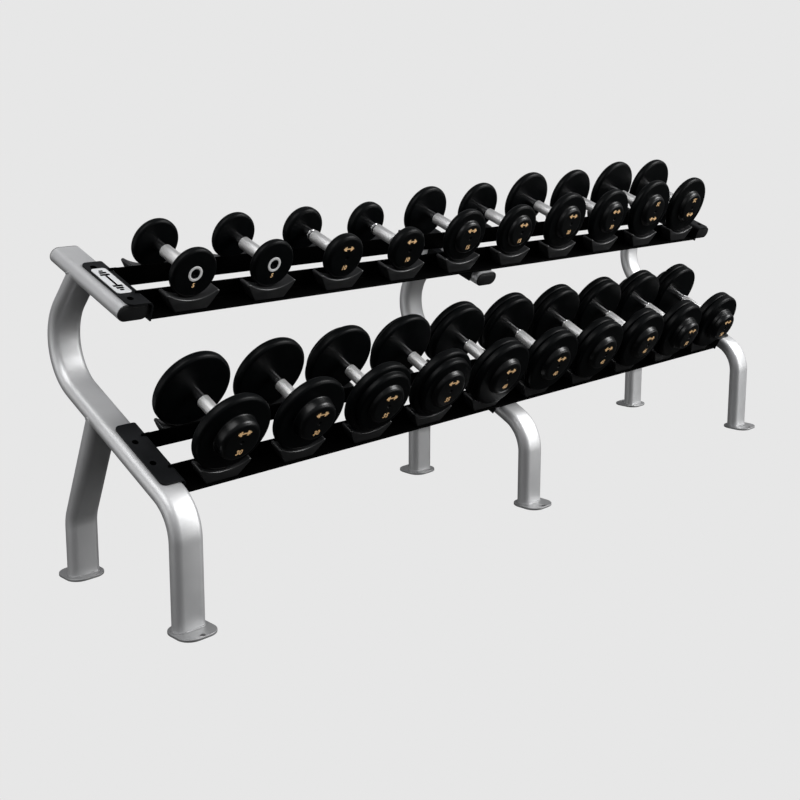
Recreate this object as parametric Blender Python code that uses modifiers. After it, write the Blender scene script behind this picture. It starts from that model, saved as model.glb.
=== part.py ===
"""Two-tier dumbbell rack, 2.46 m long, with three bent-tube frames and ten pairs of solid dumbbells.

Units are metres, +Z is up, the front of the rack faces -Y, and the origin is on the floor
below the middle of the rack. Each tier tilts toward the front. Positions on a tier use
(x, t, n): x along the rack, t up the slope from the tier's middle, n square to the slope.
"""

import math

import bmesh
import bpy
from mathutils import Matrix, Vector

# Overall layout
FRAME_PITCH = 1.18
FRAMES = (("left", -1), ("middle", 0), ("right", 1))
GAP = 0.0003
Y_SHIFT = -0.23245

# Flat-oval tube, wide across the rack
TUBE_WIDTH = 0.080
TUBE_DEPTH = 0.040
TUBE_SIDE_STEPS = 6

# Tiers: middle of the tray on the tube's centre line (y, z), and slope in degrees
UPPER_TIER = (0.2788, 0.7150, 20.3)
LOWER_TIER = (0.1728, 0.3451, 26.3)

# Upper arm, measured along its tier
ARM_FRONT = -0.0960
ARM_REAR = 0.1990
FRONT_CAP = 0.0042
REAR_CAP = 0.0030

# Upright: from the arm round the back bend, down the lower tier and into the front leg
BACK_BEND_RADIUS = 0.130
BACK_BEND_CENTRE = (0.3620, 0.5830)
BACK_BEND_START = 42.0
KNEE_RADIUS = 0.105
FRONT_LEG_Y = 0.0155

# Rear leg
REAR_LEG_Y = 0.4520
REAR_KNEE_Z = 0.1490
REAR_KNEE_RADIUS = 0.100
REAR_LEG_LEAN = 23.8

# The middle frame stands lower, so that the rails run across the top of it
MIDDLE_DROP = 0.0463

# Foot plates
FOOT_SIZE = (0.097, 0.096)
FOOT_RADIUS = 0.034
FOOT_THICK = 0.006
FOOT_HOLE = 0.0062
FRONT_FOOT = (0.0013, -0.0365)
REAR_FOOT = (0.4617, 0.4967)

# Angle rails
RAIL_LEG = 0.0500
RAIL_THICK = 0.0050
RAIL_BASE = -0.0207
RAIL_INNER = 0.0548
RAIL_END = 0.0452
RAIL_LAP = 0.0200

# Saddles
STATIONS = 10
STATION_PITCH = 0.228
SADDLE_TOP = 0.0300
SADDLE_SEAT = 0.0115
SADDLE_HALF_TOP = 0.0710
SADDLE_HALF_ARC = 0.0665
SADDLE_HALF_FOOT = 0.0440
SADDLE_OUTER = 0.0998
SADDLE_BASE_STRIP = 0.0015
SADDLE_STEPS = 6

# End brackets folded over the arms, and the badge on one of them
BRACKET_THICK = 0.0040
BRACKET_EDGE = -0.0190
BRACKET_SIDE = 0.0407
BRACKET_BEND = 0.0100
BRACKET_HALF = 0.1060
BRACKET_DROP = 0.0240
BRACKET_CORNER = 0.0140
BADGE_SIZE = (0.0380, 0.1220)
BADGE_CENTRE = (0.0025, 0.0070)
BADGE_THICK = 0.0022

# Cross brackets under the rails at the middle frame
CROSS_INNER = 0.0405
CROSS_THICK = 0.0040
CROSS_FLANGE = 0.0300
CROSS_HALF = 0.0890
CROSS_DEPTH = 0.0365

# Dumbbells
HANDLE_HALF = 0.0685
HANDLE_RADIUS = 0.0140
HEAD_STEPS = 18
LIFT_CLEARANCE = 0.0004

# Head outlines from the handle outward, as (distance from the inner face, radius)
HEADS = {
    5: ((0.0, 0.054), (0.006, 0.061), (0.015, 0.061), (0.021, 0.054)),
    10: ((0.0, 0.050), (0.009, 0.060), (0.021, 0.060), (0.030, 0.050)),
    15: ((0.0, 0.070), (0.007, 0.078), (0.017, 0.078), (0.024, 0.070), (0.024, 0.044), (0.034, 0.036)),
    20: ((0.0, 0.082), (0.007, 0.090), (0.018, 0.090), (0.025, 0.082), (0.025, 0.047), (0.036, 0.040)),
    25: ((0.0, 0.092), (0.007, 0.100), (0.018, 0.100), (0.025, 0.092), (0.025, 0.050), (0.038, 0.043)),
    30: ((0.0, 0.092), (0.008, 0.101), (0.020, 0.101), (0.028, 0.092), (0.028, 0.054), (0.054, 0.046)),
    35: (
        (0.0, 0.092), (0.008, 0.101), (0.019, 0.101), (0.027, 0.088),
        (0.044, 0.080), (0.044, 0.054), (0.057, 0.047),
    ),
    40: (
        (0.0, 0.092), (0.007, 0.100), (0.024, 0.094), (0.041, 0.100),
        (0.048, 0.092), (0.048, 0.056), (0.062, 0.047),
    ),
    45: (
        (0.0, 0.092), (0.007, 0.100), (0.025, 0.094), (0.043, 0.100),
        (0.050, 0.092), (0.050, 0.058), (0.066, 0.048),
    ),
    50: (
        (0.0, 0.092), (0.007, 0.100), (0.027, 0.094), (0.046, 0.100),
        (0.053, 0.092), (0.053, 0.056), (0.080, 0.048),
    ),
}

UPPER_WEIGHTS = (5, 5, 10, 10, 15, 15, 20, 20, 25, 25)
LOWER_WEIGHTS = (30, 30, 35, 35, 40, 40, 45, 45, 50, 50)

SILVER = (0.56, 0.57, 0.58, 1.0)
RAIL_BLACK = (0.010, 0.010, 0.011, 1.0)
URETHANE = (0.030, 0.031, 0.033, 1.0)
CAP_BLACK = (0.022, 0.022, 0.023, 1.0)
IRON_BLACK = (0.014, 0.014, 0.015, 1.0)
BADGE_WHITE = (0.72, 0.73, 0.74, 1.0)


def clear_scene():
    for old in list(bpy.data.objects):
        bpy.data.objects.remove(old, do_unlink=True)


def new_collection(name):
    made = bpy.data.collections.new(name)
    bpy.context.scene.collection.children.link(made)
    return made


def new_material(name, colour, metallic, roughness):
    made = bpy.data.materials.new(name)
    made.use_nodes = True
    shader = made.node_tree.nodes["Principled BSDF"]
    shader.inputs["Base Color"].default_value = colour
    shader.inputs["Metallic"].default_value = metallic
    shader.inputs["Roughness"].default_value = roughness
    return made


def add_object(name, data, colour, metallic=0.0, roughness=0.5):
    made = bpy.data.objects.new(name, data)
    PARTS.objects.link(made)
    data.materials.append(new_material(name + "_material", colour, metallic, roughness))
    return made


def mesh_from(name, vertices, faces, smooth=None):
    """A mesh facing outward; smooth(polygon) picks the faces that are shaded round."""
    mesh = bpy.data.meshes.new(name)
    mesh.from_pydata([tuple(v) for v in vertices], [], faces)
    mesh.validate()
    work = bmesh.new()
    work.from_mesh(mesh)
    bmesh.ops.recalc_face_normals(work, faces=work.faces)
    work.to_mesh(mesh)
    work.free()
    for polygon in mesh.polygons:
        polygon.use_smooth = bool(smooth and smooth(polygon))
    return mesh


def tier_matrix(tier, x=0.0):
    """Places (x, t, n) of a tier in the rack: local X along the rack, Y up the slope, Z square to it."""
    y, z, slope = tier
    turn = Matrix.Rotation(math.radians(slope), 4, "X")
    return Matrix.Translation((x, y + Y_SHIFT, z)) @ turn


def tier_point(tier, t, n, drop=0.0):
    """(y, z) of a point on a tier, lowered by drop."""
    placed = tier_matrix(tier) @ Vector((0.0, t, n))
    return (placed.y, placed.z - drop)


def oval_section(width, depth):
    """Flat-oval outline as (x, v) pairs, going round once from the middle of the right side."""
    radius = depth / 2
    flat = width / 2 - radius
    points = []
    for side in (1, -1):
        for step in range(TUBE_SIDE_STEPS + 1):
            angle = math.radians(-90 + 180 * step / TUBE_SIDE_STEPS)
            points.append((side * (flat + radius * math.cos(angle)), side * radius * math.sin(angle)))
    return points


def arc_path(centre, radius, start, end, steps):
    """Points (y, z) on an arc, angles in degrees from +Y toward +Z."""
    points = []
    for step in range(steps + 1):
        angle = math.radians(start + (end - start) * step / steps)
        points.append((centre[0] + radius * math.cos(angle), centre[1] + radius * math.sin(angle)))
    return points


def path_normals(path):
    """Unit normal at each path point, with the mitre scale that keeps the tube's depth."""
    normals = []
    last = len(path) - 1
    for i, point in enumerate(path):
        before = Vector(path[max(i - 1, 0)])
        after = Vector(path[min(i + 1, last)])
        here = Vector(point)
        into = (here - before).normalized() if i else (after - here).normalized()
        out = (after - here).normalized() if i < last else into
        along = (into + out).normalized()
        scale = 1.0 / max(along.dot(into), 0.5)
        normals.append((Vector((-along.y, along.x)), scale))
    return normals


def coped_end(rings, section, index, inner, plane_point, plane_normal, surface):
    """Moves one end ring along the tube so that it meets a surface at height surface(x) above a plane."""
    base = Vector(plane_point)
    normal = Vector(plane_normal).normalized()
    ring = rings[index]
    for k, (x, _) in enumerate(section):
        start = Vector((rings[inner][k].y, rings[inner][k].z))
        along = (Vector((ring[k].y, ring[k].z)) - start).normalized()
        reach = (surface(x) - (start - base).dot(normal)) / along.dot(normal)
        moved = start + along * reach
        ring[k] = Vector((ring[k].x, moved.x, moved.y))


def tube_mesh(name, x, path, section, ends):
    """A solid tube along a (y, z) path. ends holds coping data for the first and last ring, or None."""
    rings = []
    for (y, z), (normal, scale) in zip(path, path_normals(path)):
        across = normal * scale
        rings.append([Vector((x + u, y + across.x * v, z + across.y * v)) for u, v in section])
    if ends[0]:
        coped_end(rings, section, 0, 1, *ends[0])
    if ends[1]:
        coped_end(rings, section, len(rings) - 1, len(rings) - 2, *ends[1])
    count = len(section)
    vertices = [point for ring in rings for point in ring]
    faces = []
    for i in range(len(rings) - 1):
        for k in range(count):
            m = (k + 1) % count
            faces.append((i * count + k, i * count + m, (i + 1) * count + m, (i + 1) * count + k))
    sides = len(faces)
    for base in (0, (len(rings) - 1) * count):
        faces.extend(cap_strips(base, section))
    return mesh_from(name, vertices, faces, lambda polygon: polygon.index < sides)


def cap_strips(base, section):
    """End cap as strips between the points that share an x."""
    half = TUBE_SIDE_STEPS + 1
    low = list(range(0, half // 2 + 1))
    strips = []
    for k in low[:-1]:
        pair = (k, k + 1, half - 2 - k, half - 1 - k)
        if len(set(pair)) == 4:
            strips.append(tuple(base + q for q in pair))
        else:
            strips.append(tuple(base + q for q in dict.fromkeys(pair)))
    other = []
    for strip in strips:
        other.append(tuple(base + half + (q - base) for q in strip))
    middle = (base + 0, base + half - 1, base + half, base + 2 * half - 1)
    return strips + other + [middle]


def oval_drop(depth):
    """Height of the underside of a flat-oval tube below its centre line, as a function of x."""
    radius = depth / 2
    flat = TUBE_WIDTH / 2 - TUBE_DEPTH / 2

    def height(x):
        over = min(max(abs(x) - flat, 0.0), radius)
        return -math.sqrt(max(radius * radius - over * over, 0.0))

    return height


def tier_normal(tier):
    slope = math.radians(tier[2])
    return (-math.sin(slope), math.cos(slope))


def frame_drop(side):
    """How far a frame's tubes lie below those of the outer frames."""
    return MIDDLE_DROP if side == 0 else 0.0


def add_arm(label, side):
    drop = frame_drop(side)
    x = side * FRAME_PITCH
    path = [tier_point(UPPER_TIER, t, 0.0, drop) for t in (ARM_FRONT, 0.05, ARM_REAR)]
    section = oval_section(TUBE_WIDTH, TUBE_DEPTH)
    add_object("arm_" + label, tube_mesh("arm_" + label, x, path, section, (None, None)), SILVER, 0.35, 0.42)


def add_cap(label, side, end):
    """Oval plug closing one end of the arm."""
    drop = frame_drop(side)
    x = side * FRAME_PITCH
    if end == "front":
        span = (ARM_FRONT - GAP - FRONT_CAP, ARM_FRONT - GAP)
    else:
        span = (ARM_REAR + GAP, ARM_REAR + GAP + REAR_CAP)
    path = [tier_point(UPPER_TIER, t, 0.0, drop) for t in span]
    name = "arm_cap_" + end + "_" + label
    section = oval_section(TUBE_WIDTH - 0.001, TUBE_DEPTH - 0.001)
    add_object(name, tube_mesh(name, x, path, section, (None, None)), CAP_BLACK, 0.0, 0.45)


def upright_path(shift):
    """Centre line of the upright, lowered by shift."""
    slope = LOWER_TIER[2]
    cy, cz = BACK_BEND_CENTRE
    line = math.radians(slope)
    ty, tz, _ = LOWER_TIER
    offset = (tz - cz) * math.cos(line) - (ty - cy) * math.sin(line)
    centre = (cy, cz + (offset + BACK_BEND_RADIUS) / math.cos(line))
    bend = arc_path(centre, BACK_BEND_RADIUS, BACK_BEND_START, slope - 90, 9)
    start = math.radians(BACK_BEND_START)
    top = (bend[0][0] - 0.14 * math.sin(start), bend[0][1] + 0.14 * math.cos(start))
    corner_z = tz - (ty - FRONT_LEG_Y) * math.tan(line)
    reach = KNEE_RADIUS * math.tan(math.radians(90 - slope) / 2)
    knee_centre = (FRONT_LEG_Y + KNEE_RADIUS, corner_z - reach)
    knee = arc_path(knee_centre, KNEE_RADIUS, 90 + slope, 180, 6)
    path = [top] + bend + knee
    path = [(y + Y_SHIFT, z - shift) for y, z in path]
    return path + [(FRONT_LEG_Y + Y_SHIFT, FOOT_THICK + GAP)]


def add_upright(label, side):
    x = side * FRAME_PITCH
    section = oval_section(TUBE_WIDTH, TUBE_DEPTH)
    drop = frame_drop(side)
    height = oval_drop(TUBE_DEPTH + 2 * GAP)
    cope = (tier_point(UPPER_TIER, 0.0, 0.0, drop), tier_normal(UPPER_TIER), height)
    path = upright_path(drop)
    name = "upright_" + label
    add_object(name, tube_mesh(name, x, path, section, (cope, None)), SILVER, 0.35, 0.42)


def add_rear_leg(label, side):
    x = side * FRAME_PITCH
    section = oval_section(TUBE_WIDTH, TUBE_DEPTH)
    lean = math.radians(REAR_LEG_LEAN)
    reach = REAR_KNEE_RADIUS * math.tan(lean / 2)
    centre = (REAR_LEG_Y - REAR_KNEE_RADIUS, REAR_KNEE_Z - reach)
    knee = arc_path(centre, REAR_KNEE_RADIUS, REAR_LEG_LEAN, 0, 4)
    top = (knee[0][0] - 0.20 * math.sin(lean), knee[0][1] + 0.20 * math.cos(lean))
    path = [(y + Y_SHIFT, z) for y, z in [top] + knee]
    path = path + [(REAR_LEG_Y + Y_SHIFT, FOOT_THICK + GAP)]
    height = oval_drop(TUBE_DEPTH + 2 * GAP)
    ty, tz, _ = LOWER_TIER
    cope = ((ty + Y_SHIFT, tz - frame_drop(side)), tier_normal(LOWER_TIER), height)
    name = "rear_leg_" + label
    add_object(name, tube_mesh(name, x, path, section, (cope, None)), SILVER, 0.35, 0.42)


def rounded_rectangle(width, height, radius, steps=4):
    points = []
    for sx, sy, start in ((1, 1, 0), (-1, 1, 90), (-1, -1, 180), (1, -1, 270)):
        for step in range(steps + 1):
            angle = math.radians(start + 90 * step / steps)
            px = sx * (width / 2 - radius) + radius * math.cos(angle)
            py = sy * (height / 2 - radius) + radius * math.sin(angle)
            points.append((px, py))
    return points


def circle_points(cx, cy, radius, steps=12):
    points = []
    for step in range(steps):
        angle = 2 * math.pi * step / steps
        points.append((cx + radius * math.cos(angle), cy + radius * math.sin(angle)))
    return points


def plate_curve(name, outlines, thickness):
    """A flat plate from closed outlines, the first the edge and the others holes, middle plane at z = 0."""
    curve = bpy.data.curves.new(name, "CURVE")
    curve.dimensions = "2D"
    curve.fill_mode = "BOTH"
    curve.extrude = thickness / 2
    for outline in outlines:
        spline = curve.splines.new("POLY")
        spline.points.add(len(outline) - 1)
        for point, (px, py) in zip(spline.points, outline):
            point.co = (px, py, 0.0, 1.0)
        spline.use_cyclic_u = True
    return curve


def add_foot(label, side, end):
    centre_y, hole_y = FRONT_FOOT if end == "front" else REAR_FOOT
    edge = rounded_rectangle(FOOT_SIZE[0], FOOT_SIZE[1], FOOT_RADIUS)
    hole = circle_points(0.0, hole_y - centre_y, FOOT_HOLE)
    name = "foot_" + end + "_" + label
    plate = add_object(name, plate_curve(name, (edge, hole), FOOT_THICK), SILVER, 0.35, 0.42)
    plate.location = (side * FRAME_PITCH, centre_y + Y_SHIFT, FOOT_THICK / 2)


def lap_profile():
    """(reach, lowest n) pairs of a rail's lap, which follows the bend of the bracket under it."""
    corner = BRACKET_SIDE - BRACKET_BEND
    bend = BRACKET_BEND + BRACKET_THICK + GAP
    low = TUBE_DEPTH / 2 + GAP - BRACKET_BEND
    pairs = []
    for degrees in (90, 60, 30, 0):
        angle = math.radians(degrees)
        pairs.append((RAIL_END - corner - bend * math.sin(angle), low + bend * math.cos(angle)))
    return pairs + [(RAIL_LAP, low + bend)]


def rail_mesh(name, outline, half):
    """Angle section of eight (t, n) pairs; its last four run on at each end as a lap on the bracket."""
    vertices = [(-half, t, n) for t, n in outline]
    vertices += [(half, t, n) for t, n in outline]
    faces = [(k, (k + 1) % 8, 8 + (k + 1) % 8, 8 + k) for k in range(8)]
    for base, end in ((0, -1), (8, 1)):
        faces.append((base, base + 1, base + 2, base + 3, base + 4, base + 7))
        ring = [base + 4, base + 5, base + 6, base + 7]
        for reach, low in lap_profile():
            following = list(range(len(vertices), len(vertices) + 4))
            vertices += [(end * (half + reach), t, max(n, low)) for t, n in outline[4:]]
            for k in range(4):
                m = (k + 1) % 4
                faces.append((ring[k], ring[m], following[m], following[k]))
            ring = following
        faces.append(tuple(ring))
    return mesh_from(name, vertices, faces)


def tier_prism(name, outline, start, end):
    """A closed outline of (x, n) pairs swept up the slope from start to end."""
    near = [(x, start, n) for x, n in outline]
    far = [(x, end, n) for x, n in outline]
    return mesh_from(name, near + far, prism_faces(len(outline)))


def prism_faces(count):
    faces = [(k, (k + 1) % count, count + (k + 1) % count, count + k) for k in range(count)]
    faces.append(tuple(range(count)))
    faces.append(tuple(range(count, 2 * count)))
    return faces


def add_rail(tier_name, tier, end):
    """Angle rail: one leg upright on the inner side, one leg flat at the bottom pointing outward."""
    side = -1 if end == "front" else 1
    inner = RAIL_INNER
    outer = inner + RAIL_LEG
    top = RAIL_BASE + RAIL_LEG
    step = inner + RAIL_THICK
    shelf = RAIL_BASE + RAIL_THICK
    lap = TUBE_DEPTH / 2 + GAP - BRACKET_BEND
    flat_leg = [(inner, RAIL_BASE), (outer, RAIL_BASE), (outer, shelf), (step, shelf)]
    tongue = [(step, lap), (step, top), (inner, top), (inner, lap)]
    outline = [(side * t, n) for t, n in flat_leg + tongue]
    half = FRAME_PITCH - RAIL_END
    name = "rail_" + tier_name + "_" + end
    rail = add_object(name, rail_mesh(name, outline, half), RAIL_BLACK, 0.0, 0.5)
    rail.matrix_world = tier_matrix(tier)


def station_x(index):
    return (index - (STATIONS - 1) / 2) * STATION_PITCH


def saddle_outline():
    """Row of cradles joined by a thin strip underneath, as (x, n) pairs going round once."""
    shelf = RAIL_BASE + RAIL_THICK + GAP
    strip = shelf + SADDLE_BASE_STRIP
    sag = SADDLE_TOP - SADDLE_SEAT
    radius = (SADDLE_HALF_ARC**2 + sag**2) / (2 * sag)
    spread = math.asin(SADDLE_HALF_ARC / radius)
    edge = SADDLE_HALF_TOP - SADDLE_HALF_FOOT
    foot = SADDLE_HALF_FOOT + edge * (strip - shelf) / (SADDLE_TOP - shelf)
    points = [(station_x(0) - foot, shelf), (station_x(STATIONS - 1) + foot, shelf)]
    for index in reversed(range(STATIONS)):
        x = station_x(index)
        points.append((x + foot, strip))
        points.append((x + SADDLE_HALF_TOP, SADDLE_TOP - 0.003))
        points.append((x + SADDLE_HALF_TOP - 0.001, SADDLE_TOP))
        for step in range(SADDLE_STEPS + 1):
            angle = spread * (1 - 2 * step / SADDLE_STEPS)
            height = SADDLE_SEAT + radius * (1 - math.cos(angle))
            points.append((x + radius * math.sin(angle), height))
        points.append((x - SADDLE_HALF_TOP + 0.001, SADDLE_TOP))
        points.append((x - SADDLE_HALF_TOP, SADDLE_TOP - 0.003))
        points.append((x - foot, strip))
    return points


def add_saddles(tier_name, tier, end):
    inner = RAIL_INNER + RAIL_THICK + GAP
    span = (-SADDLE_OUTER, -inner) if end == "front" else (inner, SADDLE_OUTER)
    name = "saddles_" + tier_name + "_" + end
    mesh = tier_prism(name, saddle_outline(), span[0], span[1])
    strip = add_object(name, mesh, URETHANE, 0.0, 0.55)
    strip.matrix_world = tier_matrix(tier)


def bracket_outline(side):
    """Cross-section of the folded end bracket, as (x, n) pairs; side is +1 when the rails lie toward +X."""
    under = TUBE_DEPTH / 2 + GAP
    over = under + BRACKET_THICK
    corner = BRACKET_SIDE - BRACKET_BEND
    points = [(BRACKET_EDGE, under), (corner, under)]
    for step in range(1, 4):
        angle = math.radians(90 - 30 * step)
        points.append((corner + BRACKET_BEND * math.cos(angle), under - BRACKET_BEND * (1 - math.sin(angle))))
    points.append((BRACKET_SIDE, -BRACKET_DROP))
    points.append((BRACKET_SIDE + BRACKET_THICK, -BRACKET_DROP))
    bend = BRACKET_BEND + BRACKET_THICK
    for step in range(3, 0, -1):
        angle = math.radians(90 - 30 * step)
        points.append((corner + bend * math.cos(angle), over - bend * (1 - math.sin(angle))))
    points.append((corner, over))
    points.append((BRACKET_EDGE, over))
    return [(side * x, n) for x, n in points]


def round_outer_corners(mesh, edge_x):
    """Rounds the two free corners of a bracket's flange, which lie at x = edge_x."""
    work = bmesh.new()
    work.from_mesh(mesh)
    corners = []
    for edge in work.edges:
        first, second = (vertex.co for vertex in edge.verts)
        upright = abs(first.x - second.x) < 1e-6 and abs(first.y - second.y) < 1e-6
        if upright and abs(first.x - edge_x) < 1e-6:
            corners.append(edge)
    bmesh.ops.bevel(work, geom=corners, offset=BRACKET_CORNER, segments=4, profile=0.5, affect="EDGES")
    work.to_mesh(mesh)
    work.free()


def add_bracket(tier_name, tier, label, side):
    """Steel bracket folded over the arm: it carries the ends of both rails of a tier."""
    name = "bracket_" + tier_name + "_" + label
    mesh = tier_prism(name, bracket_outline(-side), -BRACKET_HALF, BRACKET_HALF)
    round_outer_corners(mesh, -side * BRACKET_EDGE)
    bracket = add_object(name, mesh, RAIL_BLACK, 0.0, 0.45)
    bracket.matrix_world = tier_matrix(tier, side * FRAME_PITCH)


def add_badge():
    """Blank badge plate on the left upper bracket."""
    width, length = BADGE_SIZE
    edge = rounded_rectangle(width, length, 0.008, 3)
    badge = add_object("badge", plate_curve("badge", (edge,), BADGE_THICK), BADGE_WHITE, 0.2, 0.4)
    height = TUBE_DEPTH / 2 + 2 * GAP + BRACKET_THICK + BADGE_THICK / 2
    offset = Matrix.Translation((BADGE_CENTRE[0], BADGE_CENTRE[1], height))
    badge.matrix_world = tier_matrix(UPPER_TIER, -FRAME_PITCH) @ offset


def head_outline(weight):
    """Outer side of one dumbbell as (radius, z) pairs from the top end to the bottom end."""
    upper = [(0.0, HANDLE_HALF + HEADS[weight][-1][0])]
    for distance, radius in reversed(HEADS[weight]):
        upper.append((radius, HANDLE_HALF + distance))
    upper.append((HANDLE_RADIUS, HANDLE_HALF))
    lower = [(radius, -z) for radius, z in reversed(upper)]
    return upper + lower


def head_radius(weight):
    return max(radius for _, radius in HEADS[weight])


def add_dumbbell(tier_name, tier, index, weight):
    """One solid dumbbell, turned about its own axis, which lies along the slope of the tier."""
    outline = head_outline(weight)
    name = "dumbbell_%s_%02d_%dlb" % (tier_name, index + 1, weight)
    profile = bpy.data.meshes.new(name)
    vertices = [(radius, 0.0, z) for radius, z in outline]
    profile.from_pydata(vertices, [(k, k + 1) for k in range(len(vertices) - 1)], [])
    bell = add_object(name, profile, IRON_BLACK, 0.1, 0.4)
    turn = bell.modifiers.new("turn", "SCREW")
    turn.axis = "Z"
    turn.steps = HEAD_STEPS
    turn.render_steps = HEAD_STEPS
    turn.use_merge_vertices = True
    turn.merge_threshold = 0.0001
    turn.use_smooth_shade = True
    height = SADDLE_SEAT + LIFT_CLEARANCE + head_radius(weight)
    placed = tier_matrix(tier, station_x(index)) @ Matrix.Translation((0.0, 0.0, height))
    bell.matrix_world = placed @ Matrix.Rotation(math.radians(-90), 4, "X")


def add_cross_bracket(tier_name, tier, side):
    """Angle beside the middle frame's tube: a flange under both rails and a web down the tube's side."""
    top = RAIL_BASE - GAP
    under = top - CROSS_THICK
    low = top - CROSS_DEPTH
    inner = CROSS_INNER
    web = inner + CROSS_THICK
    outer = inner + CROSS_FLANGE
    outline = [(inner, low), (web, low), (web, under), (outer, under), (outer, top), (inner, top)]
    name = "bracket_%s_middle_%s" % (tier_name, "left" if side < 0 else "right")
    mesh = tier_prism(name, [(side * x, n) for x, n in outline], -CROSS_HALF, CROSS_HALF)
    bracket = add_object(name, mesh, RAIL_BLACK, 0.0, 0.45)
    bracket.matrix_world = tier_matrix(tier)


def build():
    for label, side in FRAMES:
        add_arm(label, side)
        add_cap(label, side, "front")
        add_cap(label, side, "rear")
        add_upright(label, side)
        add_rear_leg(label, side)
        add_foot(label, side, "front")
        add_foot(label, side, "rear")
    tiers = (("upper", UPPER_TIER, UPPER_WEIGHTS), ("lower", LOWER_TIER, LOWER_WEIGHTS))
    for tier_name, tier, weights in tiers:
        for end in ("front", "rear"):
            add_rail(tier_name, tier, end)
            add_saddles(tier_name, tier, end)
        add_bracket(tier_name, tier, "left", -1)
        add_bracket(tier_name, tier, "right", 1)
        add_cross_bracket(tier_name, tier, -1)
        add_cross_bracket(tier_name, tier, 1)
        for index, weight in enumerate(weights):
            add_dumbbell(tier_name, tier, index, weight)
    add_badge()


clear_scene()
PARTS = new_collection("dumbbell_rack")
build()
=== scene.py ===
"""Looks of the loaded dumbbell rack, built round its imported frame. Metres, +Z up, front toward -Y."""

import math

import bmesh
import bpy
from mathutils import Matrix, Vector
from mathutils.geometry import tessellate_polygon

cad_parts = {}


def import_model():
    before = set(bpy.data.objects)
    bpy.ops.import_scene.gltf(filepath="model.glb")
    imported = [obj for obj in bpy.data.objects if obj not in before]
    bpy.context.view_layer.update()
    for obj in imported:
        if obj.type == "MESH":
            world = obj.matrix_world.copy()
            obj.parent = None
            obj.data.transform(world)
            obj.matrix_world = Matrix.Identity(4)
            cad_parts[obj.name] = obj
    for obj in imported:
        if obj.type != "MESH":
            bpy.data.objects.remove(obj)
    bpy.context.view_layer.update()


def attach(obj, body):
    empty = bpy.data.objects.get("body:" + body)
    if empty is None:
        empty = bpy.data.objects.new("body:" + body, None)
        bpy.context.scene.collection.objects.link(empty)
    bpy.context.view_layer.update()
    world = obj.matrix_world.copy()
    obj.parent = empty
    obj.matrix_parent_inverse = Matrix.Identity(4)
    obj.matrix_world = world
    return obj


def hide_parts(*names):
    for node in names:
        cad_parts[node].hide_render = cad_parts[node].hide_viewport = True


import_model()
RACK = "rack"

# Dimensions shared with the frame
FRAME_PITCH = 1.18
FRAMES = (("left", -1), ("middle", 0), ("right", 1))
Y_SHIFT = -0.23245
TUBE_WIDTH = 0.080
TUBE_DEPTH = 0.040
UPPER_TIER = (0.2788, 0.7150, 20.3)
LOWER_TIER = (0.1728, 0.3451, 26.3)
TIERS = {"upper": UPPER_TIER, "lower": LOWER_TIER}
ARM_FRONT = -0.0960
ARM_REAR = 0.1990
BACK_BEND_RADIUS = 0.130
BACK_BEND_CENTRE = (0.3620, 0.5830)
BACK_BEND_START = 42.0
KNEE_RADIUS = 0.105
FRONT_LEG_Y = 0.0155
REAR_LEG_Y = 0.4520
REAR_KNEE_Z = 0.1490
REAR_KNEE_RADIUS = 0.100
REAR_LEG_LEAN = 23.8
MIDDLE_DROP = 0.0463
GAP = 0.0003
FOOT_SIZE = (0.097, 0.096)
FOOT_RADIUS = 0.034
FOOT_THICK = 0.006
FOOT_HOLE = 0.0062
FEET = {"front": (0.0013, -0.0365, FRONT_LEG_Y), "rear": (0.4617, 0.4967, REAR_LEG_Y)}
RAIL_LEG = 0.0500
RAIL_THICK = 0.0050
RAIL_BASE = -0.0207
RAIL_INNER = 0.0548
RAIL_END = 0.0452
RAIL_LAP = 0.0200
SHELF = RAIL_BASE + RAIL_THICK
STATIONS = 10
STATION_PITCH = 0.228
SADDLE_TOP = 0.0300
SADDLE_SEAT = 0.0115
SADDLE_HALF_TOP = 0.0710
SADDLE_HALF_ARC = 0.0655
SADDLE_HALF_FOOT = 0.0440
SADDLE_OUTER = 0.0998
BRACKET_THICK = 0.0040
BRACKET_EDGE = 0.0190
BRACKET_SIDE = 0.0407
BRACKET_BEND = 0.0100
BRACKET_HALF = 0.1060
BRACKET_DROP = 0.0240
BRACKET_CORNER = 0.0140
BADGE_SIZE = (0.0380, 0.1220)
BADGE_CENTRE = (0.0025, 0.0070)
BADGE_THICK = 0.0022
CROSS_INNER = 0.0405
CROSS_THICK = 0.0040
CROSS_FLANGE = 0.0300
CROSS_HALF = 0.0890
CROSS_DEPTH = 0.0365
HANDLE_HALF = 0.0685
GRIP_HALF = 0.0350
GRIP_RADIUS = 0.0162
NECK_RADIUS = 0.0124
TURNED_SHARP = 40.0
PLUG_THICK = {"front": 0.0042, "rear": 0.0030}

# Welds: how far tube ends sink into what they meet, and the beads round them
COPE_SINK = 0.0006
FOOT_SINK = 0.0005
WELD_SPACING = 0.0035
TUBE_WELD = 0.0022
FOOT_WELD = 0.0024
BEAD_SIDES = 8
BEAD_RIPPLE = 0.08
BEAD_WAVE = 2.4

# Screws and bolts: width, head height and socket radius where there is one
BRACKET_SCREW = (0.0150, 0.0012, 0.0032)
BRACKET_SCREW_PLACES = {"upper": (-0.078, 0.080), "lower": (-0.034, 0.042)}
SADDLE_BOLT = (0.010, 0.0045)
SADDLE_BOLT_SHIFTS = (-0.022, 0.022)
SADDLE_BOLT_REACH = 0.0805
CROSS_BOLT = (0.012, 0.005)
CROSS_BOLT_PLACES = (-0.030, 0.030)
CROSS_BOLT_DROP = 0.020
WEIGHTS = {
    "upper": (5, 5, 10, 10, 15, 15, 20, 20, 25, 25),
    "lower": (30, 30, 35, 35, 40, 40, 45, 45, 50, 50),
}


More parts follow.
